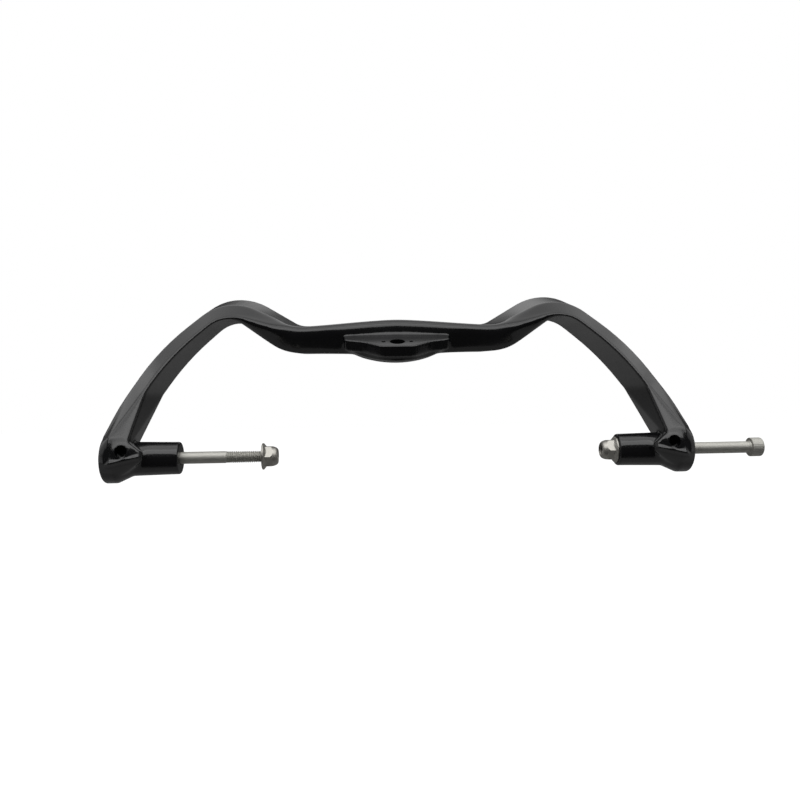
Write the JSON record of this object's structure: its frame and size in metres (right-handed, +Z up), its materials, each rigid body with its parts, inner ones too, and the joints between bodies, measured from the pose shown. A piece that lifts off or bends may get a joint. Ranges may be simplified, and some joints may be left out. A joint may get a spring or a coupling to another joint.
{
  "type": "motorcycle grab rail",
  "caption": "Arched cast grab rail with bolt-through feet, raised humps beside a middle bar and a tab in front, with its long socket screws and flange nuts.",
  "frame": {"origin": "midway between the inner faces of the bosses, on the line through both screws", "axes": "+X across the machine along the screws, +Y to the rear, +Z up"},
  "size_m": [0.448, 0.1296, 0.1339],
  "materials": {
    "black_paint": "satin black powder paint on cast aluminium",
    "zinc_screw": "zinc-plated steel, dull",
    "zinc_nut": "zinc-plated steel, bright"
  },
  "bodies": {
    "root": {"rail": "black_paint", "left_bolt": "zinc_screw", "right_bolt": "zinc_screw", "left_nut": "zinc_nut", "right_nut": "zinc_nut"}
  },
  "joints": []
}
